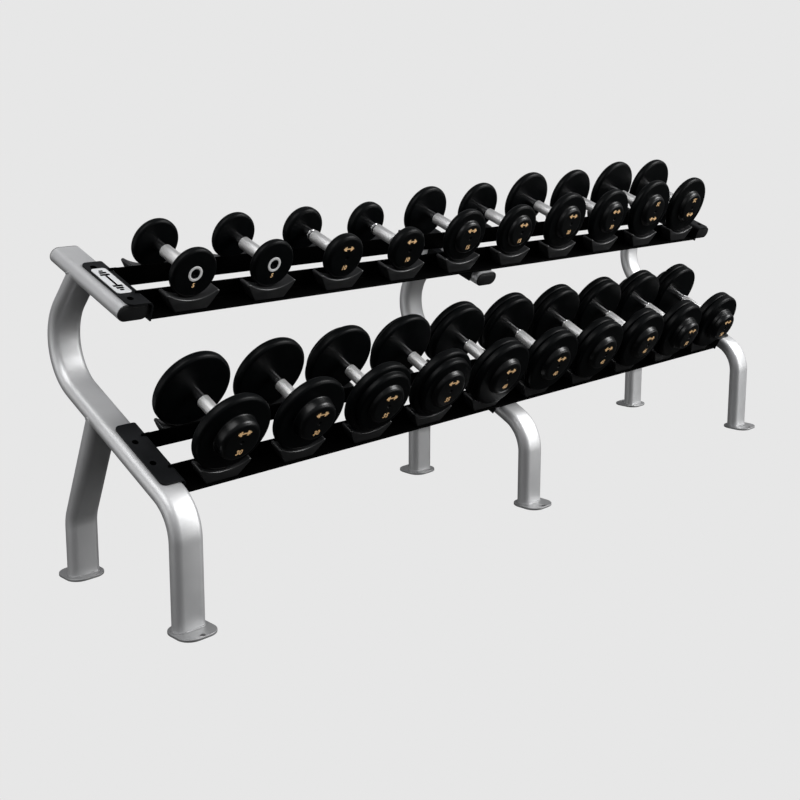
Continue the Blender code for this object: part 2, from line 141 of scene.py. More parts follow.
# ---------------------------------------------------------------- outlines

def rounded(points, radii, steps=4, closed=True):
    """Replaces each corner of a polyline by an arc of the given radius."""
    count = len(points)
    made = []
    for i, point in enumerate(points):
        radius = radii[i]
        ends = not closed and i in (0, count - 1)
        here = Vector(point)
        if radius <= 0 or ends:
            made.append(tuple(here))
            continue
        before = (Vector(points[i - 1]) - here)
        after = (Vector(points[(i + 1) % count]) - here)
        a, b = before.normalized(), after.normalized()
        half = math.acos(max(-1.0, min(1.0, a.dot(b)))) / 2
        if half > math.radians(88):
            made.append(tuple(here))
            continue
        reach = min(radius / math.tan(half), 0.49 * before.length, 0.49 * after.length)
        true = reach * math.tan(half)
        centre = here + (a + b).normalized() * (true / math.sin(half))
        start, end = here + a * reach - centre, here + b * reach - centre
        sweep = start.angle_signed(end) if start.length > 1e-9 else 0.0
        for k in range(steps + 1):
            turn = Matrix.Rotation(-sweep * k / steps, 2)
            made.append(tuple(centre + turn @ start))
    return made


def circle(cx, cy, radius, steps=24, clockwise=False):
    sign = -1 if clockwise else 1
    angles = [sign * 2 * math.pi * k / steps for k in range(steps)]
    return [(cx + radius * math.cos(a), cy + radius * math.sin(a)) for a in angles]


def rectangle(width, height, cx=0.0, cy=0.0):
    w, h = width / 2, height / 2
    return [(cx - w, cy - h), (cx + w, cy - h), (cx + w, cy + h), (cx - w, cy + h)]


def inset(outline, distance):
    """Moves an outline toward its left side: inward for a counter-clockwise edge, outward for a hole."""
    made = []
    count = len(outline)
    for i in range(count):
        here = Vector(outline[i])
        into = (here - Vector(outline[i - 1])).normalized()
        out = (Vector(outline[(i + 1) % count]) - here).normalized()
        along = (into + out).normalized()
        left = Vector((-along.y, along.x))
        made.append(tuple(here + left * distance / max(along.dot(into), 0.4)))
    return made


# ---------------------------------------------------------------- meshes

def finish_mesh(name, vertices, faces, sharp):
    mesh = bpy.data.meshes.new(name)
    work = bmesh.new()
    made = [work.verts.new(v) for v in vertices]
    for face in faces:
        if len(set(face)) > 2:
            work.faces.new([made[k] for k in face])
    bmesh.ops.recalc_face_normals(work, faces=work.faces)
    work.to_mesh(mesh)
    work.free()
    mesh.polygons.foreach_set("use_smooth", [True] * len(mesh.polygons))
    mesh.set_sharp_from_angle(angle=math.radians(sharp))
    return mesh


def plate(outlines, thickness, edge, steps=3):
    """(vertices, faces) of a plate from z = 0 to thickness, edges rounded; outlines[1:] are holes."""
    levels = [(edge * (1 - math.sin(a)), edge * (1 - math.cos(a)))
              for a in [math.pi / 2 * k / steps for k in range(steps + 1)]]
    levels += [(d, thickness - z) for d, z in reversed(levels)]
    vertices, faces, starts = [], [], []
    for outline in outlines:
        count = len(outline)
        start = len(vertices)
        starts.append(start)
        for shrink, z in levels:
            vertices += [(x, y, z) for x, y in inset(outline, shrink)]
        for ring in range(len(levels) - 1):
            for k in range(count):
                a = start + ring * count + k
                b = start + ring * count + (k + 1) % count
                faces.append((a, b, b + count, a + count))
    for level in (0, len(levels) - 1):
        index = []
        loops = []
        for outline, start in zip(outlines, starts):
            first = start + level * len(outline)
            ids = list(range(first, first + len(outline)))
            index += ids
            loops.append([Vector(vertices[k]) for k in ids])
        faces += [tuple(index[k] for k in face) for face in tessellate_polygon(loops)]
    return vertices, faces


def moved(part, matrix):
    vertices, faces = part
    return [tuple(matrix @ Vector(v)) for v in vertices], faces


def turned(profile, steps=72, ring=False):
    """(vertices, faces) of a profile of (z, radius) pairs turned about Z; ring joins its two ends."""
    vertices, faces, rings = [], [], []
    for z, radius in profile:
        if radius < 1e-7:
            rings.append([len(vertices)])
            vertices.append((0.0, 0.0, z))
            continue
        row = []
        for k in range(steps):
            angle = 2 * math.pi * k / steps
            row.append(len(vertices))
            vertices.append((radius * math.cos(angle), radius * math.sin(angle), z))
        rings.append(row)
    if ring:
        rings.append(rings[0])
    for low, high in zip(rings, rings[1:]):
        for k in range(steps):
            m = (k + 1) % steps
            if len(low) == 1:
                faces.append((low[0], high[m], high[k]))
            elif len(high) == 1:
                faces.append((low[k], low[m], high[0]))
            else:
                faces.append((low[k], low[m], high[m], high[k]))
    return vertices, faces


def oval_section(width, depth, steps=12):
    radius = depth / 2
    flat = width / 2 - radius
    points = []
    for side in (1, -1):
        for step in range(steps + 1):
            angle = math.radians(-90 + 180 * step / steps)
            points.append((side * (flat + radius * math.cos(angle)), side * radius * math.sin(angle)))
    return points


def path_frames(path):
    frames = []
    last = len(path) - 1
    for i, point in enumerate(path):
        here = Vector(point)
        into = (here - Vector(path[i - 1])).normalized() if i else None
        out = (Vector(path[i + 1]) - here).normalized() if i < last else None
        into = into or out
        out = out or into
        along = (into + out).normalized()
        frames.append((Vector((-along.y, along.x)), 1.0 / max(along.dot(into), 0.5)))
    return frames


def swept(x, path, section, cope=None):
    """(vertices, faces) of a tube along a (y, z) path. cope shapes its first end to a surface."""
    rings = []
    for (y, z), (normal, scale) in zip(path, path_frames(path)):
        rings.append([Vector((x + u, y + normal.x * v * scale, z + normal.y * v * scale))
                      for u, v in section])
    if cope:
        rings[0] = coped(rings, section, *cope)
    count = len(section)
    vertices = [tuple(point) for ring in rings for point in ring]
    faces = []
    for i in range(len(rings) - 1):
        for k in range(count):
            m = (k + 1) % count
            faces.append((i * count + k, i * count + m, (i + 1) * count + m, (i + 1) * count + k))
    for base in (0, (len(rings) - 1) * count):
        loop = [Vector((section[k][0], section[k][1], 0.0)) for k in range(count)]
        faces += [tuple(base + k for k in face) for face in tessellate_polygon([loop])]
    return vertices, faces


def coped(rings, section, point, normal, sink):
    """The first ring moved along the tube onto the underside of a flat-oval tube through point."""
    base, up = Vector(point), Vector(normal)
    radius = TUBE_DEPTH / 2
    flat = TUBE_WIDTH / 2 - radius
    made = []
    for k, (x, _) in enumerate(section):
        start = Vector((rings[1][k].y, rings[1][k].z))
        along = (Vector((rings[0][k].y, rings[0][k].z)) - start).normalized()
        over = min(max(abs(x) - flat, 0.0), radius)
        height = -math.sqrt(max(radius * radius - over * over, 0.0)) + sink
        reach = (height - (start - base).dot(up)) / along.dot(up)
        place = start + along * reach
        made.append(Vector((rings[0][k].x, place.x, place.y)))
    return made


def bead(loop, radius, outward):
    """(vertices, faces) of a weld bead round a closed loop; outward(point) is its side direction."""
    vertices, faces = [], []
    count, sides = len(loop), BEAD_SIDES
    for i, point in enumerate(loop):
        before, after = loop[i - 1], loop[(i + 1) % count]
        along = (after - before).normalized()
        side = outward(point)
        side = (side - along * side.dot(along)).normalized()
        lift = along.cross(side)
        size = radius * (1 + BEAD_RIPPLE * math.sin(i * BEAD_WAVE))
        for k in range(sides):
            angle = 2 * math.pi * k / sides
            vertices.append(tuple(point + (side * math.cos(angle) + lift * math.sin(angle)) * size))
    for i in range(count):
        for k in range(sides):
            m = (k + 1) % sides
            n = (i + 1) % count
            faces.append((i * sides + k, i * sides + m, n * sides + m, n * sides + k))
    return vertices, faces


def resampled(loop, spacing):
    """A closed loop of points at an even spacing."""
    made = []
    count = len(loop)
    carry = 0.0
    for i in range(count):
        a, b = loop[i], loop[(i + 1) % count]
        length = (b - a).length
        where = carry
        while where < length:
            made.append(a.lerp(b, where / length))
            where += spacing
        carry = where - length
    return made


def arc_path(centre, radius, start, end, steps):
    angles = [math.radians(start + (end - start) * k / steps) for k in range(steps + 1)]
    return [(centre[0] + radius * math.cos(a), centre[1] + radius * math.sin(a)) for a in angles]


def tier_matrix(tier, x=0.0, drop=0.0):
    y, z, slope = tier
    turn = Matrix.Rotation(math.radians(slope), 4, "X")
    return Matrix.Translation((x, y + Y_SHIFT, z - drop)) @ turn


def tier_point(tier, t, n, drop=0.0):
    placed = tier_matrix(tier, 0.0, drop) @ Vector((0.0, t, n))
    return (placed.y, placed.z)


# ---------------------------------------------------------------- materials

NOISE_ROUGHNESS = 0.55


class Finish:
    """A Principled material with small helpers for its node patterns."""

    def __init__(self, name, colour, metallic, roughness, **sockets):
        self.material = bpy.data.materials.new(name)
        self.material.use_nodes = True
        self.tree = self.material.node_tree
        self.shader = self.tree.nodes["Principled BSDF"]
        self.set("Base Color", (*colour, 1.0))
        self.set("Metallic", metallic)
        self.set("Roughness", roughness)
        for key, value in sockets.items():
            self.set(key.replace("_", " "), value)
        self.place = self.node("ShaderNodeTexCoord").outputs["Object"]

    def set(self, socket, value):
        self.shader.inputs[socket].default_value = value

    def node(self, kind, **values):
        made = self.tree.nodes.new(kind)
        for key, value in values.items():
            setattr(made, key, value)
        return made

    def link(self, a, b):
        self.tree.links.new(a, b)

    def feed(self, source, socket):
        self.link(source, self.shader.inputs[socket])

    def noise(self, scale, detail, stretch=None):
        made = self.node("ShaderNodeTexNoise")
        made.inputs["Scale"].default_value = scale
        made.inputs["Detail"].default_value = detail
        made.inputs["Roughness"].default_value = NOISE_ROUGHNESS
        where = self.place
        if stretch:
            mapping = self.node("ShaderNodeMapping")
            mapping.inputs["Scale"].default_value = stretch
            self.link(where, mapping.inputs["Vector"])
            where = mapping.outputs["Vector"]
        self.link(where, made.inputs["Vector"])
        return made.outputs["Fac"]

    def ramp(self, source, low, high, stops):
        made = self.node("ShaderNodeValToRGB")
        made.color_ramp.elements[0].position = low
        made.color_ramp.elements[1].position = high
        made.color_ramp.elements[0].color = (*stops[0], 1.0)
        made.color_ramp.elements[1].color = (*stops[1], 1.0)
        self.link(source, made.inputs["Fac"])
        return made.outputs["Color"]

    def span(self, source, low, high, to_low, to_high):
        made = self.node("ShaderNodeMapRange")
        for key, value in (("From Min", low), ("From Max", high), ("To Min", to_low), ("To Max", to_high)):
            made.inputs[key].default_value = value
        self.link(source, made.inputs["Value"])
        return made.outputs["Result"]

    def bump(self, source, strength, distance, under=None):
        made = self.node("ShaderNodeBump")
        made.inputs["Strength"].default_value = strength
        made.inputs["Distance"].default_value = distance
        self.link(source, made.inputs["Height"])
        if under:
            self.link(under, made.inputs["Normal"])
        self.link(made.outputs["Normal"], self.shader.inputs["Normal"])
        return made.outputs["Normal"]


def silver_paint(name, low, high):
    made = Finish(name, (low, low, low), 0.65, 0.42)
    tone = made.noise(9.0, 5.0)
    colours = ((low, low * 1.008, low * 1.016), (high, high * 1.005, high * 1.01))
    made.feed(made.ramp(tone, 0.3, 0.7, colours), "Base Color")
    made.feed(made.span(made.noise(22.0, 4.0), 0.3, 0.7, 0.45, 0.52), "Roughness")
    fine = made.bump(made.noise(900.0, 2.0), 0.08, 0.0003)
    made.bump(made.noise(160.0, 2.0), 0.05, 0.0006, fine)
    return made.material


def black_paint(name, colour, roughness, gloss):
    made = Finish(name, colour, 0.0, roughness, Specular_IOR_Level=gloss)
    tone = made.noise(14.0, 5.0)
    light = tuple(c * 1.5 for c in colour)
    made.feed(made.ramp(tone, 0.35, 0.75, (colour, light)), "Base Color")
    made.feed(made.span(made.noise(30.0, 4.0), 0.3, 0.7, roughness - 0.05, roughness + 0.07), "Roughness")
    fine = made.bump(made.noise(700.0, 2.0), 0.16, 0.0005)
    made.bump(made.noise(120.0, 2.0), 0.06, 0.0010, fine)
    return made.material


def head_urethane(name, gloss, roughness):
    made = Finish(name, (0.0020, 0.0025, 0.0030), 0.0, roughness, Specular_IOR_Level=gloss)
    tone = made.noise(18.0, 5.0)
    made.feed(made.ramp(tone, 0.3, 0.75, ((0.0010, 0.0013, 0.0015), (0.0022, 0.0028, 0.0030))), "Base Color")
    made.feed(made.span(made.noise(35.0, 5.0), 0.3, 0.7, roughness - 0.03, roughness + 0.03), "Roughness")
    made.bump(made.noise(1100.0, 2.0), 0.02, 0.0001)
    return made.material


def saddle_rubber():
    made = Finish("saddle_urethane", (0.018, 0.018, 0.019), 0.0, 0.34, Specular_IOR_Level=0.55)
    tone = made.noise(25.0, 5.0)
    made.feed(made.ramp(tone, 0.3, 0.7, ((0.015, 0.0155, 0.016), (0.022, 0.0225, 0.023))), "Base Color")
    made.feed(made.span(made.noise(40.0, 4.0), 0.3, 0.7, 0.29, 0.37), "Roughness")
    fine = made.bump(made.noise(800.0, 2.0), 0.10, 0.0003)
    made.bump(made.noise(150.0, 2.0), 0.05, 0.0005, fine)
    return made.material


def knurled_steel():
    """Diamond knurling as two crossed helical waves round the local Z axis."""
    made = Finish("knurled_steel", (0.62, 0.62, 0.62), 0.80, 0.38)
    split = made.node("ShaderNodeSeparateXYZ")
    made.link(made.place, split.inputs["Vector"])
    angle = made.node("ShaderNodeMath", operation="ARCTAN2")
    made.link(split.outputs["Y"], angle.inputs[0])
    made.link(split.outputs["X"], angle.inputs[1])
    waves = []
    for sign in (1.0, -1.0):
        along = made.node("ShaderNodeMath", operation="MULTIPLY")
        along.inputs[1].default_value = sign * 1500.0
        made.link(split.outputs["Z"], along.inputs[0])
        total = made.node("ShaderNodeMath", operation="MULTIPLY_ADD")
        total.inputs[1].default_value = 25.0
        made.link(angle.outputs[0], total.inputs[0])
        made.link(along.outputs[0], total.inputs[2])
        wave = made.node("ShaderNodeMath", operation="SINE")
        made.link(total.outputs[0], wave.inputs[0])
        waves.append(wave.outputs[0])
    crossed = made.node("ShaderNodeMath", operation="MINIMUM")
    made.link(waves[0], crossed.inputs[0])
    made.link(waves[1], crossed.inputs[1])
    height = made.span(crossed.outputs[0], -1.0, 1.0, 0.0, 1.0)
    # The base colour follows the knurl's height, darker in the grooves and lighter on the peaks: painted
    # shade and highlight.
    made.feed(made.ramp(height, 0.0, 0.55, ((0.62, 0.62, 0.62), (0.97, 0.97, 0.96))), "Base Color")
    made.feed(made.span(made.noise(60.0, 4.0), 0.3, 0.7, 0.32, 0.44), "Roughness")
    made.bump(height, 0.55, 0.0006)
    return made.material


def plain_steel(name, colour, roughness):
    made = Finish(name, colour, 1.0, roughness)
    lines = made.noise(60.0, 3.0, stretch=(1.0, 1.0, 14.0))
    made.feed(made.span(lines, 0.3, 0.7, roughness - 0.04, roughness + 0.08), "Roughness")
    made.bump(lines, 0.05, 0.0004)
    return made.material


def gold_ink():
    made = Finish("gold_ink", (0.85, 0.58, 0.28), 0.0, 0.42)
    tone = made.noise(220.0, 3.0)
    made.feed(made.ramp(tone, 0.3, 0.7, ((0.74, 0.42, 0.16), (0.90, 0.66, 0.38))), "Base Color")
    made.bump(made.noise(900.0, 2.0), 0.08, 0.0002)
    # Painted glow: a faint emission keeps the gold print bright where the head faces are in shade.
    made.set("Emission Color", (1.0, 0.62, 0.30, 1.0))
    made.set("Emission Strength", 0.13)
    return made.material


def pale_ring():
    made = Finish("ring_pale", (0.92, 0.92, 0.91), 0.2, 0.40)
    tone = made.noise(120.0, 3.0)
    made.feed(made.ramp(tone, 0.3, 0.7, ((0.88, 0.88, 0.87), (0.96, 0.96, 0.95))), "Base Color")
    made.bump(made.noise(500.0, 2.0), 0.06, 0.0003)
    return made.material


def badge_white():
    made = Finish("badge_white", (0.68, 0.69, 0.70), 0.10, 0.38)
    tone = made.noise(30.0, 4.0)
    made.feed(made.ramp(tone, 0.3, 0.7, ((0.64, 0.65, 0.66), (0.71, 0.72, 0.73))), "Base Color")
    made.feed(made.span(made.noise(90.0, 3.0), 0.3, 0.7, 0.28, 0.38), "Roughness")
    made.bump(made.noise(600.0, 2.0), 0.05, 0.0003)
    return made.material


SILVER = silver_paint("silver_powder_coat", 0.600, 0.660)
# The feet take a darker copy of the same silver coat: painted shade.
SHADED_FOOT_SILVER = silver_paint("silver_coat_shaded_feet", 0.330, 0.370)
RAIL_BLACK = black_paint("rail_black", (0.0010, 0.0010, 0.0010), 0.50, 0.006)
BRACKET_BLACK = black_paint("bracket_black", (0.0062, 0.0066, 0.0073), 0.42, 0.12)
BOLT_BLACK = black_paint("bolt_black", (0.0003, 0.0003, 0.0003), 0.50, 0.0)
CAP_BLACK = black_paint("cap_black", (0.011, 0.0112, 0.0116), 0.44, 0.30)
HEAD = head_urethane("head_urethane", 0.09, 0.38)
HUB = head_urethane("hub_urethane", 0.32, 0.31)
SADDLE = saddle_rubber()
KNURL = knurled_steel()
NECK = plain_steel("neck_steel", (0.80, 0.80, 0.81), 0.14)
COLLAR = plain_steel("collar_steel", (0.78, 0.78, 0.78), 0.20)
RING = pale_ring()
GOLD_INK_GLOW = gold_ink()
BADGE = badge_white()


# ---------------------------------------------------------------- pieces

def add_piece(name, groups, body, node=None, matrix=None, sharp=35.0):
    """One piece from (part, material) groups, riding on a body and standing for a CAD node if named."""
    vertices, faces, marks = [], [], []
    materials = []
    for part, material in groups:
        base = len(vertices)
        vertices += part[0]
        if material not in materials:
            materials.append(material)
        for face in part[1]:
            if len(set(face)) > 2:
                faces.append(tuple(base + k for k in face))
                marks.append(materials.index(material))
    mesh = finish_mesh(name, vertices, faces, sharp)
    for material in materials:
        mesh.materials.append(material)
    mesh.polygons.foreach_set("material_index", marks)
    piece = bpy.data.objects.new(name, mesh)
    bpy.context.scene.collection.objects.link(piece)
    if matrix is not None:
        piece.matrix_world = matrix
    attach(piece, body)
    if node:
        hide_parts(node)
    return piece


def drop_of(side):
    return MIDDLE_DROP if side == 0 else 0.0


def upright_path(drop):
    slope = LOWER_TIER[2]
    line = math.radians(slope)
    cy, cz = BACK_BEND_CENTRE
    ty, tz, _ = LOWER_TIER
    offset = (tz - cz) * math.cos(line) - (ty - cy) * math.sin(line)
    centre = (cy, cz + (offset + BACK_BEND_RADIUS) / math.cos(line))
    bend = arc_path(centre, BACK_BEND_RADIUS, BACK_BEND_START, slope - 90, 30)
    start = math.radians(BACK_BEND_START)
    top = (bend[0][0] - 0.14 * math.sin(start), bend[0][1] + 0.14 * math.cos(start))
    corner_z = tz - (ty - FRONT_LEG_Y) * math.tan(line)
    reach = KNEE_RADIUS * math.tan(math.radians(90 - slope) / 2)
    knee = arc_path((FRONT_LEG_Y + KNEE_RADIUS, corner_z - reach), KNEE_RADIUS, 90 + slope, 180, 20)
    path = [(y + Y_SHIFT, z - drop) for y, z in [top] + bend + knee]
    return path + [(FRONT_LEG_Y + Y_SHIFT, FOOT_THICK - FOOT_SINK)]


def rear_leg_path():
    lean = math.radians(REAR_LEG_LEAN)
    reach = REAR_KNEE_RADIUS * math.tan(lean / 2)
    centre = (REAR_LEG_Y - REAR_KNEE_RADIUS, REAR_KNEE_Z - reach)
    knee = arc_path(centre, REAR_KNEE_RADIUS, REAR_LEG_LEAN, 0, 12)
    top = (knee[0][0] - 0.20 * math.sin(lean), knee[0][1] + 0.20 * math.cos(lean))
    path = [(y + Y_SHIFT, z) for y, z in [top] + knee]
    return path + [(REAR_LEG_Y + Y_SHIFT, FOOT_THICK - FOOT_SINK)]


def tier_normal(tier):
    slope = math.radians(tier[2])
    return (-math.sin(slope), math.cos(slope))


def add_welded_tube(kind, label, x, path, point, normal):
    """Tube whose first end is coped onto the tube above through point, with a bead round that end."""
    section = oval_section(TUBE_WIDTH, TUBE_DEPTH)
    tube = swept(x, path, section, (point, normal, COPE_SINK))
    ring = tube[0][:len(section)]
    middle = Vector((x, sum(p[1] for p in ring) / len(ring), sum(p[2] for p in ring) / len(ring)))
    weld = bead(resampled([Vector(p) for p in ring], WELD_SPACING), TUBE_WELD, lambda p: p - middle)
    groups = [(tube, SILVER), (weld, SILVER)]
    add_piece("%s_tube_%s" % (kind, label), groups, RACK, "%s_%s" % (kind, label))


def frame_tubes():
    ty, tz, _ = LOWER_TIER
    for label, side in FRAMES:
        x = side * FRAME_PITCH
        drop = drop_of(side)
        arm = [tier_point(UPPER_TIER, t, 0.0, drop) for t in (ARM_FRONT, ARM_REAR)]
        tube = swept(x, arm, oval_section(TUBE_WIDTH, TUBE_DEPTH))
        add_piece("arm_tube_" + label, [(tube, SILVER)], RACK, "arm_" + label)
        add_welded_tube("upright", label, x, upright_path(drop),
                        tier_point(UPPER_TIER, 0.0, 0.0, drop), tier_normal(UPPER_TIER))
        add_welded_tube("rear_leg", label, x, rear_leg_path(),
                        (ty + Y_SHIFT, tz - drop), tier_normal(LOWER_TIER))


def arm_plugs():
    """Moulded oval plugs with a rounded rim and a shallow sunken face."""
    for label, side in FRAMES:
        for end, t, turn in (("front", ARM_FRONT, 90), ("rear", ARM_REAR, -90)):
            thick = PLUG_THICK[end]
            outer = oval_section(TUBE_WIDTH, TUBE_DEPTH)
            groups = [(plate([outer], thick, 0.0016), CAP_BLACK)]
            rim = oval_section(TUBE_WIDTH - 0.012, TUBE_DEPTH - 0.012)
            face = plate([rim], 0.0012, 0.0006)
            groups.append((moved(face, Matrix.Translation((0, 0, thick - 0.0007))), CAP_BLACK))
            matrix = tier_matrix(TIERS["upper"], side * FRAME_PITCH, drop_of(side))
            matrix = matrix @ Matrix.Translation((0, t, 0)) @ Matrix.Rotation(math.radians(turn), 4, "X")
            node = "arm_cap_%s_%s" % (end, label)
            add_piece("arm_plug_%s_%s" % (end, label), groups, RACK, node, matrix)


def feet():
    section = oval_section(TUBE_WIDTH, TUBE_DEPTH)
    for label, side in FRAMES:
        for end, (centre_y, hole_y, leg_y) in FEET.items():
            corners = [FOOT_RADIUS] * 4
            edge = rounded(rectangle(*FOOT_SIZE), corners, 8)
            hole = circle(0.0, hole_y - centre_y, FOOT_HOLE, 24, clockwise=True)
            part = plate([edge, hole], FOOT_THICK, 0.0012)
            offset = leg_y - centre_y
            loop = [Vector((u, v + offset, FOOT_THICK + 0.0004)) for u, v in section]
            middle = Vector((0, offset, FOOT_THICK))
            ring = bead(resampled(loop, WELD_SPACING), FOOT_WELD, lambda p: p - middle)
            matrix = Matrix.Translation((side * FRAME_PITCH, centre_y + Y_SHIFT, 0.0))
            groups = [(part, SHADED_FOOT_SILVER), (ring, SHADED_FOOT_SILVER)]
            node = "foot_%s_%s" % (end, label)
            add_piece("foot_plate_%s_%s" % (end, label), groups, RACK, node, matrix)


def prism(outline, start, end, edge, swap):
    """A plate of an outline standing along another axis: swap turns (x, y, z) into tier coordinates."""
    part = plate([outline], abs(end - start), edge)
    low = min(start, end)
    return [swap(x, y, low + z) for x, y, z in part[0]], part[1]


def counter_clockwise(outline):
    area = 0.0
    for (x0, y0), (x1, y1) in zip(outline, outline[1:] + outline[:1]):
        area += x0 * y1 - x1 * y0
    return outline if area > 0 else list(reversed(outline))


HEX_CORNERS = 1.155  # a hexagon's width across corners over its width across flats


def bolt_head(across, head, socket=0.0):
    """Head standing on z = 0: a button head with a round socket if asked, or else a hexagon."""
    radius = across / 2
    if socket <= 0:
        return plate([circle(0.0, 0.0, radius * HEX_CORNERS, 6)], head, 0.0006, 2)
    profile = [(0.0, 0.0), (0.0, radius), (0.30 * head, radius), (0.75 * head, 0.85 * radius),
               (head, 0.62 * radius), (head, socket), (0.2 * head, socket), (0.2 * head, 0.0)]
    return turned(profile, 24)


def rail_lap(side, end_x):
    """Tongue of a rail's upright leg that lies on the bracket and follows its bend."""
    away = math.copysign(1.0, end_x)
    top = RAIL_BASE + RAIL_LEG
    corner = BRACKET_SIDE - BRACKET_BEND
    bend = BRACKET_BEND + BRACKET_THICK + GAP
    low = TUBE_DEPTH / 2 + GAP - BRACKET_BEND
    outline = [(-0.0006, top), (-0.0006, low)]
    for k in range(9):
        angle = math.pi / 2 * (1 - k / 8)
        outline.append((RAIL_END - corner - bend * math.sin(angle), low + bend * math.cos(angle)))
    outline += [(RAIL_LAP, low + bend), (RAIL_LAP, top)]
    shape = counter_clockwise([(end_x + away * reach, n) for reach, n in outline])
    start, stop = sorted((side * RAIL_INNER, side * (RAIL_INNER + RAIL_THICK)))
    return prism(shape, start, stop, 0.0004, lambda a, b, c: (a, c, b))


def rails():
    for tier_name, tier in TIERS.items():
        for end, side in (("front", -1), ("rear", 1)):
            inner, outer = RAIL_INNER, RAIL_INNER + RAIL_LEG
            top = RAIL_BASE + RAIL_LEG
            outline = [(inner, RAIL_BASE), (outer, RAIL_BASE), (outer, SHELF),
                       (inner + RAIL_THICK, SHELF), (inner + RAIL_THICK, top), (inner, top)]
            shape = rounded(outline, [0.0012, 0.0006, 0.0026, 0.0048, 0.0026, 0.0006], 4)
            shape = counter_clockwise([(side * t, n) for t, n in shape])
            half = FRAME_PITCH - RAIL_END
            part = prism(shape, -half, half, 0.0004, lambda a, b, c: (c, a, b))
            groups = [(part, RAIL_BLACK)]
            groups += [(rail_lap(side, end_side * half), RAIL_BLACK) for end_side in (-1, 1)]
            for index in range(STATIONS):
                for shift in SADDLE_BOLT_SHIFTS:
                    spot = (station_x(index) + shift, side * SADDLE_BOLT_REACH, RAIL_BASE)
                    place = Matrix.Translation(spot) @ Matrix.Rotation(math.pi, 4, "X")
                    groups.append((moved(bolt_head(*SADDLE_BOLT), place), BOLT_BLACK))
            name = "rail_%s_%s" % (tier_name, end)
            add_piece("rail_angle_%s_%s" % (tier_name, end), groups, RACK, name, tier_matrix(tier))


def station_x(index):
    return (index - (STATIONS - 1) / 2) * STATION_PITCH


def saddle_outline():
    """Cradle as (x, n) pairs, counter-clockwise from the left of its foot."""
    sag = SADDLE_TOP - SADDLE_SEAT
    radius = (SADDLE_HALF_ARC ** 2 + sag ** 2) / (2 * sag)
    spread = math.asin(SADDLE_HALF_ARC / radius)
    low = SHELF + GAP
    foot, waist = SADDLE_HALF_FOOT, 0.0580
    points = [(-foot, low), (foot, low), (waist, 0.0040), (SADDLE_HALF_TOP + 0.0006, SADDLE_TOP - 0.0050),
              (SADDLE_HALF_TOP - 0.0004, SADDLE_TOP)]
    radii = [0.004, 0.004, 0.020, 0.004, 0.0020]
    steps = 24
    for step in range(steps + 1):
        angle = spread * (1 - 2 * step / steps)
        points.append((radius * math.sin(angle), SADDLE_SEAT + radius * (1 - math.cos(angle))))
        radii.append(0.0012 if step in (0, steps) else 0.0)
    points += [(-x, n) for x, n in reversed(points[2:5])]
    radii += [0.0020, 0.004, 0.020]
    return rounded(points, radii, 4)


def saddles():
    shape = saddle_outline()
    inner = RAIL_INNER + RAIL_THICK + GAP
    for tier_name, tier in TIERS.items():
        for end, side in (("front", -1), ("rear", 1)):
            groups = []
            for index in range(STATIONS):
                x = station_x(index)
                span = (inner, SADDLE_OUTER) if side > 0 else (-SADDLE_OUTER, -inner)
                part = prism(shape, span[0], span[1], 0.0022, lambda a, b, c, x=x: (x + a, c, b))
                groups.append((part, SADDLE))
            name = "saddles_%s_%s" % (tier_name, end)
            add_piece("cradles_%s_%s" % (tier_name, end), groups, RACK, name, tier_matrix(tier))


def folded_plate(side):
    """End bracket: flange over the arm with rounded free corners, folded down its inner side."""
    under = TUBE_DEPTH / 2 + GAP
    profile = []
    for k in range(9):
        x = -BRACKET_EDGE + BRACKET_CORNER * (1 - math.cos(math.pi / 2 * k / 8))
        profile.append((x, under, 0.0, 1.0, BRACKET_CORNER * (1 - math.sin(math.pi / 2 * k / 8))))
    corner = BRACKET_SIDE - BRACKET_BEND
    for k in range(9):
        angle = math.pi / 2 * (1 - k / 8)
        profile.append((corner + BRACKET_BEND * math.cos(angle), under - BRACKET_BEND * (1 - math.sin(angle)),
                        math.cos(angle), math.sin(angle), 0.0))
    profile.append((BRACKET_SIDE, -BRACKET_DROP, 1.0, 0.0, 0.0))
    vertices, faces = [], []
    for x, n, nx, nn, cut in profile:
        half = BRACKET_HALF - cut
        for lift in (0.0, BRACKET_THICK):
            for t in (-half, half):
                vertices.append((side * (x + nx * lift), t, n + nn * lift))
    count = len(profile)
    for i in range(count - 1):
        a, b = 4 * i, 4 * (i + 1)
        faces += [(a, a + 1, b + 1, b), (a + 2, b + 2, b + 3, a + 3)]
        faces += [(a, b, b + 2, a + 2), (a + 1, a + 3, b + 3, b + 1)]
    last = 4 * (count - 1)
    faces += [(0, 2, 3, 1), (last, last + 1, last + 3, last + 2)]
    return vertices, faces


def brackets():
    top = TUBE_DEPTH / 2 + GAP + BRACKET_THICK
    for tier_name, tier in TIERS.items():
        for label, side in (("left", -1), ("right", 1)):
            groups = [(folded_plate(-side), BRACKET_BLACK)]
            for t in BRACKET_SCREW_PLACES[tier_name]:
                place = Matrix.Translation((0.0, t, top))
                groups.append((moved(bolt_head(*BRACKET_SCREW), place), BOLT_BLACK))
            name = "bracket_%s_%s" % (tier_name, label)
            piece = add_piece("bracket_plate_%s_%s" % (tier_name, label), groups, RACK, name,
                              tier_matrix(tier, side * FRAME_PITCH))
            soften(piece, 0.0007)


def soften(piece, width, segments=2):
    bevel = piece.modifiers.new("edges", "BEVEL")
    bevel.width = width
    bevel.segments = segments
    bevel.limit_method = "ANGLE"
    bevel.angle_limit = math.radians(50)
    bevel.harden_normals = False


